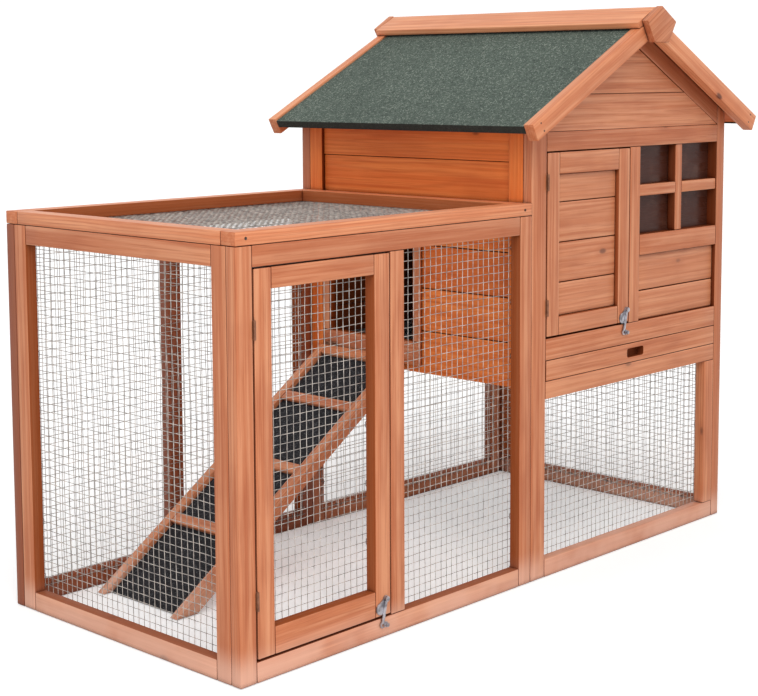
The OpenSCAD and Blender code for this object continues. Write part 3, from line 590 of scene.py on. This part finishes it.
def eased_board(solid, tone, node, radius, rng):
    """Rounds the edges of a board, lets its faces dip as planed timber does, and marks its grain."""
    axes = board_axes(solid)
    along, across, through = axes
    sharp = [edge for edge in solid.edges if edge.calc_face_angle(0.0) > SHARP]
    made = bmesh.ops.bevel(solid, geom=sharp, offset=radius * rng.uniform(0.85, 1.25), segments=2,
                           profile=0.55, affect="EDGES", clamp_overlap=True, miter_outer="ARC")
    rounded = set(made["faces"])
    # rounded faces are marked for a painted highlight
    edge_highlight_mark = solid.faces.layers.float.new("edge")
    for face in solid.faces:
        face[edge_highlight_mark] = 1.0 if face in rounded else 0.0
    cut_into_strips(solid, along, STATION)
    cut_into_strips(solid, across, STRIP)
    let_dip(solid, axes, DIP_WAVES, DIP, rng)
    # marks the faces that get painted shade
    mark_inward_shade(solid, axes, node)
    end_mark = solid.faces.layers.float.new("end_grain")
    for face in solid.faces:
        face[end_mark] = 1.0 if abs(face.normal.dot(along)) > ENDWISE else 0.0
    grain = solid.verts.layers.float_vector.new("grain")
    tone_and_shade_mark = solid.verts.layers.float.new("tone")
    middle = middle_of(solid)
    for vert in solid.verts:
        away = vert.co - middle
        vert[grain] = [away.dot(axis) for axis in axes]
        vert[tone_and_shade_mark] = tone
    return solid


def object_of(solids, name):
    """One object from several bmeshes, which are freed."""
    whole = bmesh.new()
    for solid in solids:
        part = bpy.data.meshes.new("part")
        solid.to_mesh(part)
        solid.free()
        whole.from_mesh(part)
        bpy.data.meshes.remove(part)
    mesh = bpy.data.meshes.new(name)
    whole.to_mesh(mesh)
    whole.free()
    obj = bpy.data.objects.new(name, mesh)
    bpy.context.scene.collection.objects.link(obj)
    shade_smooth(obj, 50)
    return obj


def timber(node):
    """One piece that holds every board of a CAD node."""
    rng = random.Random(node)
    low, high = TONE_AND_SHADE_RANGE.get(node, (0.0, 1.0))
    radius = BOARD_EASED if node.endswith("wall_boards") or node == "house_door_boards" else EASED
    boards = [eased_board(solid, rng.uniform(low, high), node, radius, rng) for solid in solids_of(node)]
    return stand_for(object_of(boards, "timber." + node), node)


for node_name in NODES:
    if SLOT_OF[node_name] in TIMBER_SLOTS:
        timber(node_name)


# ---------------------------------------------------------------- felt

FELT_CELL = 0.010
FELT_WAVES = (14, 14, 14)


def felt(node, edge, dip):
    """Felt sheets: soft edges, and a surface that follows the boards only roughly."""
    rng = random.Random(node)
    sheets = []
    for solid in solids_of(node):
        axes = board_axes(solid)
        sharp = [line for line in solid.edges if line.calc_face_angle(0.0) > SHARP]
        bmesh.ops.bevel(solid, geom=sharp, offset=edge, segments=3, profile=0.5, affect="EDGES",
                        clamp_overlap=True)
        for direction in axes[:2]:
            cut_into_strips(solid, direction, FELT_CELL)
        let_dip(solid, axes, FELT_WAVES, dip, rng)
        sheets.append(solid)
    return stand_for(object_of(sheets, "felt." + node), node)


felt("roof_felt", 0.0008, 0.0006)
felt("ramp_felt", 0.0008, 0.0010)


# ---------------------------------------------------------------- wire mesh

WIRE_SIDES = 6
WAVE_IN_PLANE = 0.0016
WAVE_OUT = 0.0022
RIPPLE = 0.0006
KINK = 0.00012           # a wire's own small bends
WAVE_RATE = 9.0          # waves per metre in the mesh's plane
OUT_RATE = 6.0           # and out of it
RIPPLE_RATE = 38.0
CALM = 0.05              # the waves grow from nothing over this distance from the timber
FLAT_LAP = 0.010         # the mesh lies flat where it laps over the timber
PITCH = 0.0127
ZINC = 1.18              # the zinc coat thickens the wire


def wire_line(low, high):
    """Centre points of a straight CAD wire at the pitch of its crossings, and its radius."""
    size = high - low
    axis = max(range(3), key=lambda k: size[k])
    radius = min(size) / 2
    count = max(3, round(size[axis] / PITCH) * 2 + 1)
    points = np.repeat([list((low + high) / 2)], count, axis=0)
    points[:, axis] = np.linspace(low[axis], high[axis], count)
    return points, radius


def wavy(points, low, high, seed, rng):
    """Shifts a wire's points by the waves that run through its whole panel, and by its own kinks."""
    size = high - low
    normal = min(range(3), key=lambda k: size[k])
    in_plane = [k for k in range(3) if k != normal]
    moved = []
    for p in points:
        place = Vector(p)
        inside = min(min(place[k] - low[k], high[k] - place[k]) for k in in_plane) - FLAT_LAP
        share = min(1.0, max(0.0, inside / CALM))
        wave = noise.noise_vector(place * WAVE_RATE + seed)
        ripple = noise.noise_vector(place * RIPPLE_RATE + seed)
        kink = rng.uniform(-KINK, KINK)
        for k in in_plane:
            place[k] += share * (WAVE_IN_PLANE * wave[k] + RIPPLE * ripple[k] + kink)
        place[normal] += share * WAVE_OUT * noise.noise(place * OUT_RATE + seed)
        moved.append(place)
    return moved


def wire_panel(node):
    """Welded mesh in place of a CAD panel's straight wires."""
    rng = random.Random(node)
    seed = Vector((rng.uniform(0, 90), rng.uniform(0, 90), rng.uniform(0, 90)))
    low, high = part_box(node)
    parts = []
    for solid in solids_of(node):
        points, radius = wire_line(*corners_of(solid))
        solid.free()
        radius *= ZINC
        parts.append(tube(wavy(points, low, high, seed, rng), radius, WIRE_SIDES, rng.uniform(0, 1)))
    obj = mesh_object("wire." + node, *joined(parts))
    obj.data.shade_smooth()
    return stand_for(obj, node)


for node_name in NODES:
    if SLOT_OF[node_name] == "wire_mesh":
        wire_panel(node_name)


# ---------------------------------------------------------------- metal and other CAD shapes

SOFT_EDGE = 0.00025


def finish_cad(node):
    """Keeps a CAD node's shape, softens its edges and gives it its finish."""
    obj = NODES[node]
    obj.data.materials.clear()
    obj.data.materials.append(MATERIAL["hinges" if "hinge" in node else SLOT_OF[node]])
    soften = obj.modifiers.new("soft_edges", "BEVEL")
    soften.width = SOFT_EDGE
    soften.segments = 2
    soften.limit_method = "ANGLE"
    soften.angle_limit = math.radians(35)


for node_name in NODES:
    if SLOT_OF[node_name] in ("fittings", "nails", "pane", "tray_pan"):
        finish_cad(node_name)


# ---------------------------------------------------------------- small fixings

STAPLE_WIRE = 0.0005     # radius
STAPLE_HALF = 0.0042     # half the crown's length
STAPLE_RISE = 0.0009     # crown above the middle of its wire
STAPLE_DEPTH = 0.0050    # points below it, in the timber
STAPLE_IN = 0.0055       # from the wire's end
WIRES_PER_STAPLE = 7
NAIL_R = 0.0016
NAIL_PROUD = 0.0002
NAIL_DEPTH = 0.0008
NAIL_IN = 0.022          # from a board's end
RIM_R = 0.0011
# The timber that each mesh is stapled to
MESH_TIMBER = {"run_end_mesh": "run_end_frame", "run_front_mesh": "run_front_frame",
               "run_back_mesh": "run_back_frame", "run_roof_mesh": "run_roof_frame",
               "run_door_mesh": "run_door_frame", "under_house_front_mesh": "front_base_rail",
               "under_house_right_mesh": "right_wall_frame", "under_house_back_mesh": "back_wall_frame"}
NAILED = {"front_bargeboards": -1, "back_bargeboards": 1}


def fixing(name, parts, body, slot):
    """One piece made of many small closed shapes."""
    obj = mesh_object(name, *joined(parts))
    shade_smooth(obj)
    obj.data.materials.append(MATERIAL[slot])
    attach(obj, body)
    return obj


def staple(wire, along, off):
    """A staple over a wire that runs along, with its crown on the side that off points to."""
    across = along.cross(off) * STAPLE_HALF
    crown = wire + off * STAPLE_RISE
    shoulder = wire + off * (STAPLE_RISE - STAPLE_WIRE)
    foot = wire - off * STAPLE_DEPTH
    line = [foot - across, shoulder - across, crown - across * 0.85, crown + across * 0.85,
            shoulder + across, foot + across]
    return tube(line, STAPLE_WIRE, 6)


def staples(mesh_node):
    """Staples over both ends of every few wires of a panel."""
    low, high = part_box(mesh_node)
    timber_low, timber_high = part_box(MESH_TIMBER[mesh_node])
    thin = min(range(3), key=lambda k: high[k] - low[k])
    off = Vector((0, 0, 0))
    off[thin] = math.copysign(1.0, (low + high)[thin] - (timber_low + timber_high)[thin])
    parts = []
    for index, solid in enumerate(solids_of(mesh_node)):
        wire_low, wire_high = corners_of(solid)
        solid.free()
        if index % WIRES_PER_STAPLE != WIRES_PER_STAPLE // 2:
            continue
        middle = (wire_low + wire_high) / 2
        axis = max(range(3), key=lambda k: wire_high[k] - wire_low[k])
        along = Vector(1.0 if k == axis else 0.0 for k in range(3))
        for end in (wire_low[axis] + STAPLE_IN, wire_high[axis] - STAPLE_IN):
            place = middle.copy()
            place[axis] = end
            parts.append(staple(place, along, off))
    fixing("staples." + mesh_node, parts, BODY_OF[mesh_node], "nails")


def nail_head(place, normal):
    """A low round head, set into the surface at place."""
    return tube([place - normal * NAIL_DEPTH, place, place + normal * NAIL_PROUD], NAIL_R, 10)


def board_nails(node, side):
    """Two nail heads near each end of every board, on the face towards side of Y."""
    rng = random.Random("nails " + node)
    outward = Vector((0, side, 0))
    parts = []
    for solid in solids_of(node):
        along, across, through = board_axes(solid)
        centre = middle_of(solid)
        half_along = max(abs((vert.co - centre).dot(along)) for vert in solid.verts)
        half_across = max(abs((vert.co - centre).dot(across)) for vert in solid.verts)
        face_y = max((vert.co.y for vert in solid.verts), key=lambda y: y * side)
        solid.free()
        for end in (-1, 1):
            for edge in (-1, 1):
                place = centre + along * end * (half_along - NAIL_IN - half_across * 0.5)
                place += across * edge * half_across * 0.5 + along * rng.uniform(-0.003, 0.003)
                place.y = face_y - side * DIP * 0.5
                parts.append(nail_head(place, outward))
    fixing("nails." + node, parts, BODY_OF[node], "nails")


def pan_rim():
    """The pan's top edges, rolled inwards."""
    low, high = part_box("tray_pan")
    x0, y0 = low.x + RIM_R, low.y + RIM_R
    x1, y1 = high.x - RIM_R, high.y - RIM_R
    z = high.z - RIM_R
    corners = [Vector((x0, y0, z)), Vector((x1, y0, z)), Vector((x1, y1, z)), Vector((x0, y1, z))]
    parts = [tube([corners[i], (corners[i] + corners[i - 1]) / 2, corners[i - 1]], RIM_R, 10)
             for i in range(4)]
    fixing("rim.tray_pan", parts, BODY_OF["tray_pan"], "tray_pan")


for node_name in MESH_TIMBER:
    staples(node_name)
for node_name, towards in NAILED.items():
    board_nails(node_name, towards)
pan_rim()


# ---------------------------------------------------------------- stage

def ground():
    mesh = bpy.data.meshes.new("ground")
    reach = 30.0
    mesh.from_pydata([(-reach, -reach, 0), (reach, -reach, 0), (reach, reach, 0), (-reach, reach, 0)], [],
                     [(0, 1, 2, 3)])
    obj = bpy.data.objects.new("ground", mesh)
    bpy.context.scene.collection.objects.link(obj)
    obj.location.z = cad_lo.z - 0.0005
    n = Nodes("pale_ground")
    soft = n.noise(n.position(), 1.5, 2.0)
    seen = n.mix(n.remap(soft, 0.3, 0.7), (0.84, 0.85, 0.86), (0.87, 0.87, 0.87))
    path = n.new("ShaderNodeLightPath")
    n.link(n.mix(path.outputs["Is Camera Ray"], (0.70, 0.70, 0.70), seen), n.shader.inputs["Base Color"])
    # the ground glows a little to the camera: painted light that lifts its shadows, inside the run too
    n.shader.inputs["Emission Color"].default_value = (1, 1, 1, 1)
    n.link(n.math("MULTIPLY", path.outputs["Is Camera Ray"], 0.30), n.shader.inputs["Emission Strength"])
    n.shader.inputs["Roughness"].default_value = 0.9
    n.shader.inputs["Specular IOR Level"].default_value = 0.0
    obj.data.materials.append(n.material)


def sun(name, towards, strength, spread):
    """Light from very large soft boxes far away; towards points from the object to the light."""
    data = bpy.data.lights.new(name, "SUN")
    data.energy = strength
    data.angle = math.radians(spread)
    obj = bpy.data.objects.new(name, data)
    bpy.context.scene.collection.objects.link(obj)
    obj.rotation_mode = "QUATERNION"
    obj.rotation_quaternion = Vector(towards).to_track_quat("Z", "Y")


def soft_box(name, place, aim, size, power):
    """A square light at place that looks at aim."""
    data = bpy.data.lights.new(name, "AREA")
    data.energy = power
    data.size = size
    obj = bpy.data.objects.new(name, data)
    bpy.context.scene.collection.objects.link(obj)
    obj.location = place
    obj.rotation_mode = "QUATERNION"
    obj.rotation_quaternion = (Vector(place) - Vector(aim)).to_track_quat("Z", "Y")


def studio():
    """White room: an even glow, soft light from the front left and a weaker one from the right."""
    world = bpy.data.worlds.new("studio")
    bpy.context.scene.world = world
    world.use_nodes = True
    tree = world.node_tree
    background = tree.nodes["Background"]
    background.inputs["Color"].default_value = (1, 1, 1, 1)
    path = tree.nodes.new("ShaderNodeLightPath")
    reflected = tree.nodes.new("ShaderNodeMapRange")
    reflected.inputs["To Min"].default_value = 0.66
    reflected.inputs["To Max"].default_value = 1.10
    seen = tree.nodes.new("ShaderNodeMath")
    seen.operation = "MAXIMUM"
    tree.links.new(path.outputs["Is Camera Ray"], seen.inputs[0])
    tree.links.new(path.outputs["Is Glossy Ray"], seen.inputs[1])
    tree.links.new(seen.outputs[0], reflected.inputs["Value"])
    tree.links.new(reflected.outputs[0], background.inputs["Strength"])
    sun("key", (-0.55, -0.60, 0.95), strength=1.25, spread=40)
    soft_box("near_box", (-1.35, -1.55, 0.22), aim=(-0.45, -0.25, 0.05), size=0.9, power=9)
    sun("fill", (0.9, -0.9, 0.4), strength=0.12, spread=60)
    bpy.context.scene.view_settings.view_transform = "Standard"
    bpy.context.scene.view_settings.look = "None"


def camera():
    """Looks at the near corner of the run from its left, a little above the eaves' height."""
    data = bpy.data.cameras.new("camera")
    data.sensor_width = 36
    data.lens = 76.5
    data.shift_y = -0.129
    obj = bpy.data.objects.new("camera", data)
    bpy.context.scene.collection.objects.link(obj)
    corner = Vector((RUN_X0, FRONT_Y, 0))
    obj.location = corner + Vector((-1.416, -1.602, 0.835))
    yaw = math.radians(43.39)
    pitch = math.radians(-6.16)
    roll = math.radians(-0.25)
    look = Vector((math.cos(pitch) * math.cos(yaw), math.cos(pitch) * math.sin(yaw), math.sin(pitch)))
    aim = look.to_track_quat("-Z", "Y")
    obj.rotation_mode = "QUATERNION"
    obj.rotation_quaternion = aim @ Matrix.Rotation(roll, 3, "Z").to_quaternion()
    bpy.context.scene.camera = obj


ground()
studio()
camera()
